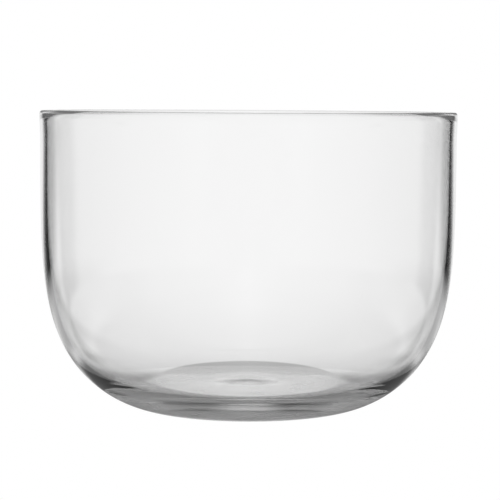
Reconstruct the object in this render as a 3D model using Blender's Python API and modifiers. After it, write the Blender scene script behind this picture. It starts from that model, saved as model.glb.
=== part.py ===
"""Crystallizing dish: one piece of clear blown borosilicate glass.

The dish is a body of revolution about Z and stands on the plane z = 0 on a
narrow flat ring round a shallow hollow in its underside.

    rim      fire-polished round bead, very slightly flared
    wall     nearly cylindrical, thin
    shoulder one continuous curve from the wall to the foot ring, with the
             glass growing thicker towards the ring
    base     thick, flat-bottomed inside with a low swell in the middle

Units are metres, +Z is up, and the origin is the centre of the foot ring on
the surface that the dish stands on.
"""
import math

import bpy

# ---- rim and wall -----------------------------------------------------------
RIM_RADIUS = 0.0950        # outermost radius, at the rim bead
HEIGHT = 0.1359            # foot ring to top of rim
RIM_THICKNESS = 0.0030     # diameter of the fire-polished bead
BEAD_RADIUS = RIM_THICKNESS / 2.0
BEAD_Z = HEIGHT - BEAD_RADIUS   # height of the bead's centre
WALL_RADIUS = 0.09465      # outer radius of the upper wall, without the flare
WALL_THICKNESS = 0.0031    # glass thickness in the wall
FLARE_HEIGHT = 0.0110      # the flare starts this far below the bead's centre

# The outside is a superellipse.
UPRIGHT_POWER = 4.83       # how far down the wall stays upright
ROUND_IN_POWER = 1.69      # how quickly the curve meets the foot ring

# ---- base -------------------------------------------------------------------
BASE_THICKNESS = 0.0093    # glass over the foot ring
THICKEN_RADIUS = 0.0880    # radius of the outside where the glass starts to thicken
THICKEN_POWER = 3.0        # how late it does so: more than 1
BASE_SWELL = 0.0016        # height of the swell in the middle of the inside floor
SWELL_RADIUS = 0.0165      # where that swell dies out
FOOT_RADIUS = 0.0415       # outer edge of the flat ring it stands on
FOOT_WIDTH = 0.0018        # width of that ring
PUNT_RISE = 0.0003         # depth of the hollow in the underside
PUNT_ROUND = 0.3           # 0 for a hollow with an S-shaped section, 1 for a plain dome

# ---- how finely the profile and the turn are divided ------------------------
TURN_STEPS = 72            # facets round the axis
MERGE_DISTANCE = 0.0001    # joins the seam and the points on the axis
FLOOR_SEGMENTS = 6         # inside floor, from the axis to the foot radius
BEAD_SEGMENTS = 8          # over the rim bead
PUNT_SEGMENTS = 6          # underside hollow, from the ring to the axis

# The outer and inner curves are sampled densely, then thinned.
CURVE_SAMPLES = 3000       # sampling steps along the outside
MAX_BEND = math.radians(7.5)   # a segment ends once it bends more than this
MAX_SEGMENT = 0.0160       # or once it is longer than this
MIN_SEGMENT = 0.0008       # but never while it is shorter than this
END_CLEARANCE = 0.0012     # a kept point nearer than this to the curve's end is dropped
BEAD_CLEARANCE = 0.0004    # the curves start this far below the bead's centre
FLOOR_CLEARANCE = 0.0004   # the offset inner curve stops this far outside the foot radius


def clear_scene():
    """Remove every object that is already in the file."""
    for obj in list(bpy.data.objects):
        bpy.data.objects.remove(obj, do_unlink=True)


# ---- outer and inner curves, as lists of (radius, z) from the rim down ------
def smooth_step(x):
    """S-shaped rise from 0 to 1, clamped outside that range."""
    x = min(max(x, 0.0), 1.0)
    return x * x * (3.0 - 2.0 * x)


def flare(z):
    """Extra radius near the rim, nought below the flare."""
    x = (z - (BEAD_Z - FLARE_HEIGHT)) / FLARE_HEIGHT
    return (RIM_RADIUS - WALL_RADIUS) * smooth_step(x)


def outer_curve():
    """The outside, from the rim down to the foot ring."""
    points = []
    for i in range(CURVE_SAMPLES + 1):
        angle = 0.5 * math.pi * i / CURVE_SAMPLES
        z = HEIGHT * (1.0 - math.sin(angle) ** (2.0 / UPRIGHT_POWER))
        reach = math.cos(angle) ** (2.0 / ROUND_IN_POWER)
        radius = FOOT_RADIUS + (WALL_RADIUS - FOOT_RADIUS) * reach
        points.append((radius + flare(z), z))
    return points


def glass_at(radius):
    """Glass thickness where the outside has this radius."""
    x = min(max((THICKEN_RADIUS - radius) / (THICKEN_RADIUS - FOOT_RADIUS), 0.0), 1.0)
    # rises from 0 to 1 and levels off at the foot ring
    share = x ** THICKEN_POWER * (1.0 + THICKEN_POWER * (1.0 - x))
    return WALL_THICKNESS + (BASE_THICKNESS - WALL_THICKNESS) * share


def inner_curve(outer):
    """The outside stepped inwards, square to itself, by the glass thickness."""
    points = []
    for i, (radius, z) in enumerate(outer):
        above = outer[max(i - 1, 0)]
        below = outer[min(i + 1, len(outer) - 1)]
        length = math.hypot(below[0] - above[0], below[1] - above[1])
        # downward and axis-ward parts of the curve's direction
        down = (above[1] - below[1]) / length
        inward = (above[0] - below[0]) / length
        glass = glass_at(radius)
        points.append((radius - glass * down, z + glass * inward))
    points = [point for point in points if point[0] > FOOT_RADIUS + FLOOR_CLEARANCE]
    return points + [(FOOT_RADIUS, BASE_THICKNESS)]


def cut_below(points, z_top):
    """Keep the part of a falling curve under z_top, starting exactly at it."""
    for i in range(1, len(points)):
        (radius_0, z_0), (radius_1, z_1) = points[i - 1], points[i]
        if z_1 < z_top:
            share = (z_0 - z_top) / (z_0 - z_1)
            return [(radius_0 + share * (radius_1 - radius_0), z_top)] + points[i:]
    raise ValueError("curve doesn't reach below the rim")


def thin_out(points):
    """Keep only the samples that the bend and length limits call for."""
    kept = [points[0]]
    length = bend = 0.0
    heading = None
    for start, end in zip(points, points[1:]):
        step = math.hypot(end[0] - start[0], end[1] - start[1])
        if step < 1e-9:     # coincident samples have no heading
            continue
        new_heading = math.atan2(end[1] - start[1], end[0] - start[0])
        if heading is not None:
            bend += abs(new_heading - heading)
            if length > MIN_SEGMENT and (bend > MAX_BEND or length > MAX_SEGMENT):
                kept.append(start)
                length = bend = 0.0
        heading = new_heading
        length += step
    last = points[-1]
    if math.hypot(kept[-1][0] - last[0], kept[-1][1] - last[1]) < END_CLEARANCE:
        kept.pop()
    kept.append(last)
    return kept


# ---- the other parts of the profile, as lists of (radius, z) ----------------
def floor_points():
    """Inside floor, from the axis out to just short of where it turns up."""
    points = []
    for i in range(FLOOR_SEGMENTS):
        radius = FOOT_RADIUS * i / FLOOR_SEGMENTS
        lift = BASE_SWELL * smooth_step(1.0 - radius / SWELL_RADIUS)
        points.append((radius, BASE_THICKNESS + lift))
    return points


def bead_points():
    """Fire-polished bead, from the inside over the top to the outside."""
    points = []
    for i in range(BEAD_SEGMENTS + 1):
        angle = math.pi * i / BEAD_SEGMENTS
        radius = RIM_RADIUS - BEAD_RADIUS - BEAD_RADIUS * math.cos(angle)
        points.append((radius, BEAD_Z + BEAD_RADIUS * math.sin(angle)))
    return points


def underside_points():
    """Inner edge of the foot ring, then the hollow, in to the axis."""
    ring_inside = FOOT_RADIUS - FOOT_WIDTH
    points = [(ring_inside, 0.0)]
    for i in range(1, PUNT_SEGMENTS + 1):
        x = i / PUNT_SEGMENTS
        dome = 1.0 - (1.0 - x) ** 2
        lift = (1.0 - PUNT_ROUND) * smooth_step(x) + PUNT_ROUND * dome
        points.append((ring_inside * (1.0 - x), PUNT_RISE * lift))
    return points


def dish_profile():
    """Half section from axis to axis: inside floor, up, over, down and under."""
    curve_top = BEAD_Z - BEAD_CLEARANCE
    outside = outer_curve()
    inner = thin_out(cut_below(inner_curve(outside), curve_top))
    outer = thin_out(cut_below(outside, curve_top))
    return floor_points() + inner[::-1] + bead_points() + outer + underside_points()


# ---- material and object ----------------------------------------------------
def glass_material():
    """Clear borosilicate glass."""
    material = bpy.data.materials.new("clear_glass")
    material.use_nodes = True
    settings = {
        "Base Color": (0.93, 0.95, 0.95, 1.0),
        "Metallic": 0.0,
        "Roughness": 0.02,
        "IOR": 1.473,
        "Transmission Weight": 1.0,
    }
    shader = material.node_tree.nodes["Principled BSDF"]
    for name, value in settings.items():
        shader.inputs[name].default_value = value
    return material


def turned(name, profile, collection, material):
    """A solid of revolution from a half section that starts and ends on the axis."""
    mesh = bpy.data.meshes.new(name)
    verts = [(radius, 0.0, z) for radius, z in profile]
    edges = [(i, i + 1) for i in range(len(verts) - 1)]
    mesh.from_pydata(verts, edges, [])
    mesh.materials.append(material)
    obj = bpy.data.objects.new(name, mesh)
    collection.objects.link(obj)

    screw = obj.modifiers.new("turn", "SCREW")
    screw.axis = "Z"
    screw.angle = 2.0 * math.pi
    screw.screw_offset = 0.0
    screw.steps = TURN_STEPS
    screw.render_steps = TURN_STEPS
    screw.use_merge_vertices = True
    screw.merge_threshold = MERGE_DISTANCE
    screw.use_smooth_shade = True


def main():
    clear_scene()
    collection = bpy.data.collections.new("crystallizing_dish")
    bpy.context.scene.collection.children.link(collection)
    turned("glass_dish", dish_profile(), collection, glass_material())


main()
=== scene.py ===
"""Looks for the crystallizing dish: one piece of clear glass on a white table.

The dish stands upright on its foot ring, its axis along +Z, and the camera looks
along +Y from just above the rim.  The CAD solid gives its size and place; the half
section is turned again here at a finer pitch and given a procedural glass, a white
table and soft studio surroundings.  Metres throughout.
"""
import math

import bmesh
import bpy
from mathutils import Matrix, Vector


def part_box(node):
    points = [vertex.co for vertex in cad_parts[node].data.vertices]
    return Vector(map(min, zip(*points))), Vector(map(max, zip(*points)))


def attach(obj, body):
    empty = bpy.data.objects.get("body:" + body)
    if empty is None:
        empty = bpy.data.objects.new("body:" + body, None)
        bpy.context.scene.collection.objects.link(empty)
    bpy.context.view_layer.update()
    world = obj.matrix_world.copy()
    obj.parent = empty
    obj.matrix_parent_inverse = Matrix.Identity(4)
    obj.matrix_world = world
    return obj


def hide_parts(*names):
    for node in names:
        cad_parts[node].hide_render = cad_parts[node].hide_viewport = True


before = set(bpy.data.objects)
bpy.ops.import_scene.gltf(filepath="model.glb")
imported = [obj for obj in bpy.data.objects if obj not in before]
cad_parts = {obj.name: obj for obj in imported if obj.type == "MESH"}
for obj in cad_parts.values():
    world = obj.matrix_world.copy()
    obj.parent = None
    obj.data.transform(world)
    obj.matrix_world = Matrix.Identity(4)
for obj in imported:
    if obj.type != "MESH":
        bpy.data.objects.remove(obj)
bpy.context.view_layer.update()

NODE = "glass_dish"
low_corner, high_corner = (Vector(corner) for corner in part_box(NODE))
RIM_RADIUS = 0.5 * (high_corner.x - low_corner.x)
HEIGHT = high_corner.z
AXIS_X = 0.5 * (high_corner.x + low_corner.x)
AXIS_Y = 0.5 * (high_corner.y + low_corner.y)

# ---- half section of the glass ------------------------------------------------
WALL_RADIUS = RIM_RADIUS - 0.00035
FLARE_HEIGHT = 0.0110           # below the rim bead, where the wall widens to the rim
WALL_THICKNESS = 0.0031
BEAD_RADIUS = 0.0030 / 2.0      # half the rim's thickness
BEAD_Z = HEIGHT - BEAD_RADIUS
BEAD_OVERLAP = 0.0002           # the wall ends this far below the bead's centre
BASE_THICKNESS = 0.0093
THICKEN_RADIUS = 0.0880         # inside this radius the wall thickens towards the base
THICKEN_POWER = 3.0
BASE_SWELL = 0.0016             # rise of the floor at the axis
SWELL_RADIUS = 0.0165
FOOT_RADIUS = 0.0415
FOOT_WIDTH = 0.0018
FLOOR_MARGIN = 0.0004           # the inner wall stops this far outside the floor's edge
PUNT_RISE = 0.0003              # hollow of the underside at the axis
PUNT_ROUND = 0.3                # share of a parabola in the hollow's shape
UPRIGHT_POWER = 4.8340          # superellipse powers of the outside, in height
ROUND_POWER = 1.6940            # and in radius

# ---- how finely it is turned --------------------------------------------------
TURN_STEPS = 288
CURVE_STEPS = 6000              # samples of the outside before thinning
MAX_BEND = math.radians(1.3)    # thinning keeps a point past this bend or length
MAX_SEGMENT = 0.0030
MIN_STEP = 1e-10                # shorter steps have no usable heading
MIN_LAST_SEGMENT = 0.0003
BEAD_STEPS = 24
FLOOR_STEPS = 24
FOOT_STEPS = 4
PUNT_STEPS = 28
ON_AXIS = 1e-7                  # a smaller radius counts as lying on the axis

# ---- camera -------------------------------------------------------------------
CAMERA_DISTANCE = 0.9144
CAMERA_ABOVE_RIM = 0.0065 * CAMERA_DISTANCE
SENSOR_WIDTH = 36.0             # millimetres
FOCAL = 4.0                     # in frame widths
RIM_RIGHT = -0.0044             # rim's centre from the frame's centre, in frame widths
RIM_UP = 0.2776
ROLL = math.radians(0.35)
CLIP = (0.01, 200.0)

# ---- surroundings: (degrees to either side of the view axis, brightness) --------
HALF_TURN = 180.0
# Near the horizon: a white background, black flags to either side, lit room.
SURROUND = (
    (0.0, 0.95), (3.0, 0.92), (24.0, 0.86), (28.5, 0.02), (48.0, 0.02),
    (56.0, 0.70), (90.0, 0.80), (115.0, 0.95), (150.0, 1.10), (180.0, 0.90),
)
# Above the top edge of the background.
ABOVE = (
    (0.0, 0.98), (3.5, 0.92), (10.0, 0.05), (23.0, 0.05), (27.0, 1.00),
    (60.0, 1.00), (80.0, 0.50), (100.0, 0.40), (120.0, 0.75), (180.0, 1.00),
)
OVERHEAD = (
    (0.0, 0.30), (60.0, 0.15), (90.0, 0.30), (105.0, 0.50), (130.0, 0.80), (180.0, 1.10),
)
HORIZON = (6.49, 8.40)          # degrees up, where SURROUND gives way to ABOVE
CEILING = (20.5, 27.0)          # degrees up, where ABOVE gives way to OVERHEAD
SEEN_LEVEL = 1.0                # world and table where the camera sees them directly

# ---- table --------------------------------------------------------------------
# Pairs are the start and end of a soft edge; fours are two such edges, in and out.
TABLE_LEVEL = 0.84
TABLE_RADIUS = 6.0
TABLE_SEGMENTS = 128
TABLE_GAP = 0.0002              # between the table and the underside of the dish
TABLE_FADE = (0.08, 0.60)       # where it takes on the brightness of what lies behind it
FLANK_SHADE_LEVEL = 0.42              # painted shade of the dish: dimmer patches to either side
FLANK_FADE = (0.085, 0.150, 0.350, 0.600)
FLANK_TURN = (38.0, 50.0, 90.0, 110.0)  # degrees
SIDE_SHADE_LEVEL = 0.20               # painted shade of the dish under the overhang, in front and to the sides
SIDE_RING = (0.0410, 0.0520, 0.0950, 0.1250)
SIDE_FADE_Y = (0.0065, 0.0555)
OVAL_LEVEL = 0.50               # oval shade behind the foot, with a curved near edge
OVAL_CENTRE_Y = 0.0233
OVAL_HALF_WIDTH = 0.0418
OVAL_HALF_DEPTH = 0.0660
OVAL_SOFT = 0.037               # softness of its outline, as a share of its half size
EDGE_Y = 0.0415                 # near edge on the centre line
EDGE_CURVE = 38.14              # how fast it comes nearer sideways, per metre
EDGE_LEAST_Y = 0.0300
EDGE_SOFT = 0.004
STEEP = (0.12, 0.25)            # sine of the camera's height angle: past it a round shade stays
ROUND_LEVEL = 0.68
ROUND_FADE = (0.034, 0.115)

# ---- glass: how it was drawn, and how it has worn --------------------------------
GLASS_IOR = 1.473
ABSORPTION = 4.369              # per metre, grey
WAVE_HEIGHT = 0.00006           # slow unevenness of the wall
WAVE_SCALE = 14.0
CORD_HEIGHT = 0.000004          # fine level cords
CORD_SCALE = 26.0
CORD_STRETCH = (1.0, 1.0, 7.0)
RING_HEIGHT = 0.000002          # rings left in the base by the mould
RING_FREQUENCY = 2.0 * math.pi / 0.0028
RING_WANDER = 16.0              # radians the unevenness shifts the rings
RING_FADE_Z = (0.004, 0.030)    # where the rings die out, going up
MARK_SCALE = 60.0               # wiped patches
HAZE = 0.03                     # roughness of the patches
HAZE_MARKS = (0.60, 0.80)       # noise levels between which the haze comes in
SCUFF_FADE_Z = (0.00005, 0.00045)
SCUFF_BASE = 0.10               # roughness of the foot ring,
SCUFF_MARKS = 0.30              # and how much the patches add to it
CAUGHT_AFTER = 13.5             # bounces, after which a painted glow stands in for light caught in the wall
CAUGHT_FADE_Z = (0.030, 0.080)  # between these it goes from the low to the high level
CAUGHT_LOW = 0.02
CAUGHT_HIGH = 0.85
CAUGHT_LIMB = (0.960, 0.985)    # towards the outline it falls to the limb's level
CAUGHT_AT_LIMB = 0.24


# ---- the half section: lists of (radius, z) -------------------------------------
def smooth_step(x):
    x = min(max(x, 0.0), 1.0)
    return x * x * (3.0 - 2.0 * x)


def distance_between(start, end):
    return math.hypot(end[0] - start[0], end[1] - start[1])


def flare(z):
    """How far the wall stands out at this height to meet the rim."""
    return (RIM_RADIUS - WALL_RADIUS) * smooth_step((z - (BEAD_Z - FLARE_HEIGHT)) / FLARE_HEIGHT)


def outer_curve():
    """The outside, from the rim down to the foot."""
    points = []
    for i in range(CURVE_STEPS + 1):
        angle = 0.5 * math.pi * i / CURVE_STEPS
        z = HEIGHT * (1.0 - math.sin(angle) ** (2.0 / UPRIGHT_POWER))
        spread = math.cos(angle) ** (2.0 / ROUND_POWER)
        radius = FOOT_RADIUS + (WALL_RADIUS - FOOT_RADIUS) * spread
        points.append((radius + flare(z), z))
    return points


def thickness_at(radius):
    """Glass thickness where the outside has this radius."""
    x = min(max((THICKEN_RADIUS - radius) / (THICKEN_RADIUS - FOOT_RADIUS), 0.0), 1.0)
    share = x ** THICKEN_POWER * (1.0 + THICKEN_POWER * (1.0 - x))
    return WALL_THICKNESS + (BASE_THICKNESS - WALL_THICKNESS) * share


def inner_curve(outer):
    """The outside stepped inwards, square to itself, by the glass thickness."""
    points = []
    for i, (radius, z) in enumerate(outer):
        before = outer[max(i - 1, 0)]
        after = outer[min(i + 1, len(outer) - 1)]
        length = distance_between(before, after)
        inward = (before[1] - after[1]) / length
        upward = (before[0] - after[0]) / length
        thickness = thickness_at(radius)
        points.append((radius - thickness * inward, z + thickness * upward))
    points = [point for point in points if point[0] > FOOT_RADIUS + FLOOR_MARGIN]
    return points + [(FOOT_RADIUS, BASE_THICKNESS)]


def cut_at(points, z_top):
    """Drops what lies above z_top from a curve that runs downwards past it."""
    i = next(i for i in range(1, len(points)) if points[i][1] < z_top)
    (radius0, z0), (radius1, z1) = points[i - 1], points[i]
    share = (z0 - z_top) / (z0 - z1)
    return [(radius0 + share * (radius1 - radius0), z_top)] + points[i:]


def thin_out(points):
    """Keeps a point wherever enough bend or length has built up since the last."""
    kept = [points[0]]
    length = bend = 0.0
    heading = None
    for start, end in zip(points, points[1:]):
        step = distance_between(start, end)
        if step < MIN_STEP:
            continue
        new_heading = math.atan2(end[1] - start[1], end[0] - start[0])
        if heading is not None:
            bend += abs(new_heading - heading)
            if bend > MAX_BEND or length > MAX_SEGMENT:
                kept.append(start)
                length = bend = 0.0
        heading = new_heading
        length += step
    if distance_between(kept[-1], points[-1]) < MIN_LAST_SEGMENT:
        kept.pop()
    kept.append(points[-1])
    return kept


def floor_curve():
    """Top of the base, from the axis out."""
    points = []
    for k in range(FLOOR_STEPS):
        radius = FOOT_RADIUS * k / FLOOR_STEPS
        swell = BASE_SWELL * smooth_step(1.0 - radius / SWELL_RADIUS)
        points.append((radius, BASE_THICKNESS + swell))
    return points


def rim_bead():
    """Half circle over the rim, from the inside out."""
    points = []
    for k in range(BEAD_STEPS + 1):
        angle = math.pi * k / BEAD_STEPS
        radius = RIM_RADIUS - BEAD_RADIUS - BEAD_RADIUS * math.cos(angle)
        points.append((radius, BEAD_Z + BEAD_RADIUS * math.sin(angle)))
    return points


def underside():
    """Flat foot ring, then the shallow hollow in to the axis."""
    points = [(FOOT_RADIUS - FOOT_WIDTH * k / FOOT_STEPS, 0.0) for k in range(1, FOOT_STEPS)]
    for k in range(PUNT_STEPS + 1):
        x = k / PUNT_STEPS
        lift = (1.0 - PUNT_ROUND) * smooth_step(x) + PUNT_ROUND * (1.0 - (1.0 - x) ** 2)
        points.append(((FOOT_RADIUS - FOOT_WIDTH) * (1.0 - x), PUNT_RISE * lift))
    return points


def dish_profile():
    """Closed half section: floor, inside, rim, outside, underside."""
    outside = outer_curve()
    wall_top = BEAD_Z - BEAD_OVERLAP
    inner = thin_out(cut_at(inner_curve(outside), wall_top))
    outer = thin_out(cut_at(outside, wall_top))
    return floor_curve() + inner[::-1] + rim_bead() + outer + underside()


def lathe(name, profile):
    """Closed body of revolution, with one vertex where the section meets the axis."""
    verts, rings, faces = [], [], []
    for radius, z in profile:
        if radius < ON_AXIS:
            rings.append([len(verts)])
            verts.append((AXIS_X, AXIS_Y, z))
            continue
        rings.append(range(len(verts), len(verts) + TURN_STEPS))
        for k in range(TURN_STEPS):
            angle = 2.0 * math.pi * k / TURN_STEPS
            verts.append((AXIS_X + radius * math.cos(angle), AXIS_Y + radius * math.sin(angle), z))
    for ring, following in zip(rings, rings[1:]):
        for k in range(TURN_STEPS):
            after = (k + 1) % TURN_STEPS
            if len(ring) == 1:
                faces.append((ring[0], following[k], following[after]))
            elif len(following) == 1:
                faces.append((ring[k], following[0], ring[after]))
            else:
                faces.append((ring[k], following[k], following[after], ring[after]))
    mesh = bpy.data.meshes.new(name)
    mesh.from_pydata(verts, [], faces)
    mesh.validate()
    mesh.shade_smooth()
    obj = bpy.data.objects.new(name, mesh)
    bpy.context.scene.collection.objects.link(obj)
    return obj


# ---- materials -------------------------------------------------------------------
class Shader:
    """Adds nodes to one tree.  Inputs may be plain values or other nodes' outputs."""

    def __init__(self, tree):
        self.tree = tree

    def feed(self, socket, value):
        if isinstance(value, bpy.types.NodeSocket):
            self.tree.links.new(value, socket)
        else:
            socket.default_value = value

    def add(self, kind, *inputs, **settings):
        """New node, with its inputs in order; None leaves an input alone."""
        node = self.tree.nodes.new("ShaderNode" + kind)
        for name, setting in settings.items():
            setattr(node, name, setting)
        for i, value in enumerate(inputs):
            if value is not None:
                self.feed(node.inputs[i], value)
        return node

    def math(self, operation, *inputs):
        return self.add("Math", *inputs, operation=operation).outputs[0]

    def times(self, first, second):
        return self.math("MULTIPLY", first, second)

    def less(self, first, second):
        return self.math("SUBTRACT", first, second)

    def length(self, x, y):
        return self.math("SQRT", self.math("ADD", self.times(x, x), self.times(y, y)))

    def blend(self, share, start, end):
        return self.add("Mix", share, None, start, end, data_type="FLOAT").outputs[0]

    def step(self, value, start, end):
        """Smooth climb from 0 at start to 1 at end."""
        return self.add("MapRange", value, start, end, 0.0, 1.0,
                        interpolation_type="SMOOTHSTEP").outputs[0]

    def fall(self, value, start, end):
        return self.less(1.0, self.step(value, start, end))

    def window(self, value, in_from, in_to, out_from, out_to):
        """1 between the two soft edges, 0 outside them."""
        return self.less(self.step(value, in_from, in_to), self.step(value, out_from, out_to))

    def split(self, vector):
        return self.add("SeparateXYZ", vector).outputs

    def to_camera(self, vector, source="WORLD"):
        """The vector as the camera sees it: x to the right, y up, z away from it."""
        return self.add("VectorTransform", vector, vector_type="VECTOR",
                        convert_from=source, convert_to="CAMERA").outputs[0]

    def brightness(self, turn, table):
        """Looks up a (degrees, brightness) table; turn is a share of half a turn."""
        node = self.add("ValToRGB", turn)
        node.color_ramp.interpolation = "LINEAR"
        elements = node.color_ramp.elements
        elements[0].position = table[0][0] / HALF_TURN
        elements[0].color = (table[0][1],) * 3 + (1.0,)
        elements[1].position = table[-1][0] / HALF_TURN
        elements[1].color = (table[-1][1],) * 3 + (1.0,)
        for degrees, level in table[1:-1]:
            elements.new(degrees / HALF_TURN).color = (level, level, level, 1.0)
        return self.add("SeparateColor", node.outputs[0]).outputs[0]

    def white_to_camera(self, level):
        """Even white for camera rays, the given level for all others."""
        path = self.add("LightPath")
        return self.blend(path.outputs["Is Camera Ray"], level, SEEN_LEVEL)


def caught_light(shader, x, y, z, radius):
    """Painted glow standing in for light caught in the wall: even grey, set by height and nearness
    to the outline.
    """
    outward = shader.add("CombineXYZ", shader.math("DIVIDE", x, radius),
                         shader.math("DIVIDE", y, radius))
    sideways = shader.split(shader.to_camera(outward.outputs[0], "OBJECT"))[0]
    limb = shader.step(shader.math("ABSOLUTE", sideways), *CAUGHT_LIMB)
    level = shader.blend(shader.step(z, *CAUGHT_FADE_Z), CAUGHT_LOW, CAUGHT_HIGH)
    glow = shader.add("Emission")
    shader.feed(glow.inputs["Strength"], shader.blend(limb, level, CAUGHT_AT_LIMB))
    return glow.outputs[0]


def glass_material():
    """Clear glass: drawn waviness, cords in the thick base, light wear, faint grey body, and a
    painted glow for light caught in the wall.
    """
    material = bpy.data.materials.new("clear_glass_fine")
    material.use_nodes = True
    nodes = material.node_tree.nodes
    shader = Shader(material.node_tree)
    output = nodes["Material Output"]
    glass = nodes["Principled BSDF"]
    glass.inputs["Base Color"].default_value = (1.0, 1.0, 1.0, 1.0)
    glass.inputs["IOR"].default_value = GLASS_IOR
    glass.inputs["Transmission Weight"].default_value = 1.0
    body = shader.add("VolumeAbsorption")
    body.inputs["Color"].default_value = (0.0, 0.0, 0.0, 1.0)
    body.inputs["Density"].default_value = ABSORPTION
    shader.feed(output.inputs["Volume"], body.outputs[0])

    place = shader.add("TexCoord").outputs["Object"]
    x, y, z = shader.split(place)
    radius = shader.length(x, y)

    def noise(scale, detail, stretch=(1.0, 1.0, 1.0)):
        stretched = shader.add("VectorMath", place, stretch, operation="MULTIPLY")
        node = shader.add("TexNoise", stretched.outputs[0])
        node.inputs["Scale"].default_value = scale
        node.inputs["Detail"].default_value = detail
        return node.outputs["Fac"]

    # height of the surface, in metres: slow waviness, level cords, and base rings
    unrest = noise(WAVE_SCALE, detail=0.0)
    cords = shader.times(noise(CORD_SCALE, detail=1.0, stretch=CORD_STRETCH), CORD_HEIGHT)
    low = shader.fall(z, *RING_FADE_Z)
    phase = shader.math("MULTIPLY_ADD", radius, RING_FREQUENCY, shader.times(unrest, RING_WANDER))
    rings = shader.times(shader.times(shader.math("SINE", phase), low), RING_HEIGHT)
    waves = shader.math("MULTIPLY_ADD", unrest, WAVE_HEIGHT, cords)
    bump = shader.add("Bump")
    bump.inputs["Strength"].default_value = 1.0
    bump.inputs["Distance"].default_value = 1.0
    shader.feed(bump.inputs["Height"], shader.math("ADD", waves, rings))
    shader.feed(glass.inputs["Normal"], bump.outputs[0])

    # polish: bright almost everywhere, hazier in a few wiped patches, and worn
    # where the foot ring rubs on the bench
    marks = noise(MARK_SCALE, detail=2.0)
    haze = shader.times(shader.step(marks, *HAZE_MARKS), HAZE)
    worn = shader.fall(z, *SCUFF_FADE_Z)
    scuff = shader.times(worn, shader.math("MULTIPLY_ADD", marks, SCUFF_MARKS, SCUFF_BASE))
    shader.feed(glass.inputs["Roughness"], shader.math("ADD", haze, scuff))

    # after this many bounces a painted glow, set by height and nearness to the outline, takes the
    # place of the light still in the wall
    depth = shader.add("LightPath").outputs["Ray Depth"]
    caught = shader.math("GREATER_THAN", depth, CAUGHT_AFTER)
    glow = caught_light(shader, x, y, z, radius)
    mix = shader.add("MixShader", caught, glass.outputs[0], glow)
    shader.feed(output.inputs["Surface"], mix.outputs[0])
    return material


def open_table(shader, distance, turn):
    """Table away from the dish: fades into what lies behind it, with painted shade at the flanks.
    """
    far = shader.brightness(turn, SURROUND)
    level = shader.blend(shader.step(distance, *TABLE_FADE), TABLE_LEVEL, far)
    # painted shade of the dish on the table to either flank
    turned = shader.window(turn, *(degrees / HALF_TURN for degrees in FLANK_TURN))
    flank_shade = shader.times(shader.window(distance, *FLANK_FADE), turned)
    return shader.blend(flank_shade, level, FLANK_SHADE_LEVEL)


def oval_shade(shader, x, y):
    """1 in the oval behind the foot and beyond its curved near edge."""
    across = shader.math("DIVIDE", x, OVAL_HALF_WIDTH)
    along = shader.math("DIVIDE", shader.less(y, OVAL_CENTRE_Y), OVAL_HALF_DEPTH)
    reach = shader.length(across, along)
    within = shader.fall(reach, 1.0 - OVAL_SOFT, 1.0 + OVAL_SOFT)
    edge = shader.less(EDGE_Y, shader.times(shader.times(x, x), EDGE_CURVE))
    edge = shader.math("MAXIMUM", edge, EDGE_LEAST_Y)
    behind = shader.step(shader.less(y, edge), -EDGE_SOFT, EDGE_SOFT)
    return shader.times(within, behind)


def table_material():
    """Glowing white, with the dish's own soft shade painted on as it is seen through glass."""
    material = bpy.data.materials.new("table_white")
    material.use_nodes = True
    material.node_tree.nodes.clear()
    shader = Shader(material.node_tree)
    output = shader.add("OutputMaterial")
    glow = shader.add("Emission")
    shader.feed(output.inputs[0], glow.outputs[0])

    # x is how far a spot lies to either side of the origin as the camera sees
    # it, and y how far behind the origin
    position = shader.add("NewGeometry").outputs["Position"]
    distance = shader.add("VectorMath", position, operation="LENGTH").outputs["Value"]
    seen = shader.split(shader.to_camera(position))
    x = shader.math("ABSOLUTE", seen[0])
    rest = shader.less(shader.times(distance, distance), shader.times(x, x))
    y = shader.times(shader.math("SIGN", seen[2]),
                     shader.math("SQRT", shader.math("MAXIMUM", rest, 0.0)))
    turn = shader.times(shader.math("ARCTAN2", x, y), 1.0 / math.pi)

    # painted shade under the overhang, in a ring in front of and beside the foot
    beside = shader.window(distance, *SIDE_RING)
    abreast = shader.fall(y, *SIDE_FADE_Y)
    level = open_table(shader, distance, turn)
    level = shader.blend(shader.times(beside, abreast), level, SIDE_SHADE_LEVEL)
    level = shader.blend(oval_shade(shader, x, y), level, OVAL_LEVEL)

    # looked at from higher up, the table shows one soft round shade under the dish
    lean = shader.split(shader.to_camera((0.0, 0.0, 1.0)))[2]
    steep = shader.step(shader.math("ABSOLUTE", lean), *STEEP)
    plain = shader.blend(shader.step(distance, *ROUND_FADE), ROUND_LEVEL, TABLE_LEVEL)
    level = shader.blend(steep, level, plain)
    shader.feed(glow.inputs["Strength"], shader.white_to_camera(level))
    return material


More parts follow.
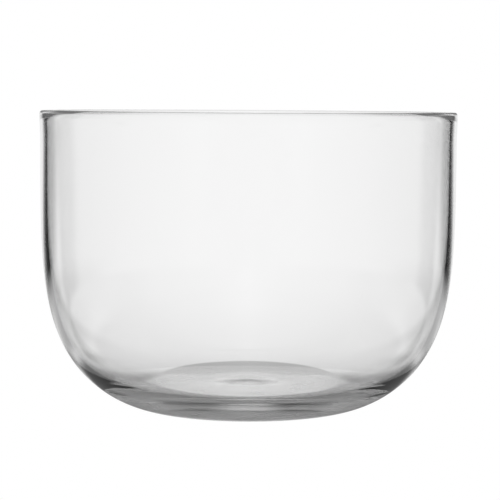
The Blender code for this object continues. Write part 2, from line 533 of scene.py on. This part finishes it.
# ---- surroundings, table and camera -----------------------------------------------
def build_world():
    world = bpy.data.worlds.new("studio")
    bpy.context.scene.world = world
    world.use_nodes = True
    world.node_tree.nodes.clear()
    shader = Shader(world.node_tree)
    output = shader.add("OutputWorld")
    background = shader.add("Background", (1.0, 1.0, 1.0, 1.0))
    shader.feed(output.inputs[0], background.outputs[0])

    # angles off the camera's axis, in degrees: sideways, and upwards
    seen = shader.to_camera(shader.add("TexCoord").outputs["Generated"])
    direction = shader.add("VectorMath", seen, operation="NORMALIZE").outputs[0]
    x, y, z = shader.split(direction)
    side = shader.math("ABSOLUTE", shader.math("ARCTAN2", x, z))
    up = shader.math("ARCSINE", y)
    side = shader.times(side, HALF_TURN / math.pi)
    up = shader.times(up, HALF_TURN / math.pi)

    turn = shader.times(side, 1.0 / HALF_TURN)
    level = shader.brightness(turn, SURROUND)
    for table, fade in ((ABOVE, HORIZON), (OVERHEAD, CEILING)):
        higher = shader.brightness(turn, table)
        level = shader.blend(shader.step(up, *fade), level, higher)
    shader.feed(background.inputs["Strength"], shader.white_to_camera(level))


def build_table():
    disc = bmesh.new()
    bmesh.ops.create_circle(disc, cap_ends=True, radius=TABLE_RADIUS, segments=TABLE_SEGMENTS)
    mesh = bpy.data.meshes.new("table")
    disc.to_mesh(mesh)
    disc.free()
    table = bpy.data.objects.new("table", mesh)
    table.location = (AXIS_X, AXIS_Y, low_corner.z - TABLE_GAP)
    bpy.context.scene.collection.objects.link(table)
    mesh.materials.append(table_material())


def build_camera():
    """Aims so that the rim's centre lands at its place in the frame, then rolls."""
    data = bpy.data.cameras.new("camera")
    camera = bpy.data.objects.new("camera", data)
    bpy.context.scene.collection.objects.link(camera)
    data.sensor_width = SENSOR_WIDTH
    data.lens = SENSOR_WIDTH * FOCAL
    data.clip_start, data.clip_end = CLIP
    pitch = math.atan2(-CAMERA_ABOVE_RIM, CAMERA_DISTANCE) - math.atan(RIM_UP / FOCAL)
    turn = math.atan(RIM_RIGHT / FOCAL)
    camera.location = (AXIS_X, AXIS_Y - CAMERA_DISTANCE, HEIGHT + CAMERA_ABOVE_RIM)
    camera.rotation_euler = (math.pi / 2.0 + pitch, 0.0, turn)
    bpy.context.view_layer.update()
    camera.matrix_world = camera.matrix_world @ Matrix.Rotation(ROLL, 4, "Z")
    bpy.context.scene.camera = camera


dish = lathe("dish_glass", dish_profile())
dish.data.materials.append(glass_material())
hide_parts(NODE)
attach(dish, "root")

build_world()
build_table()
build_camera()

# enough bounces for light to be followed through the wall until it counts as caught
scene = bpy.context.scene
scene.view_settings.view_transform = "Standard"
scene.cycles.max_bounces = 32
scene.cycles.transmission_bounces = 32
scene.cycles.glossy_bounces = 32
scene.cycles.sample_clamp_indirect = 0.0
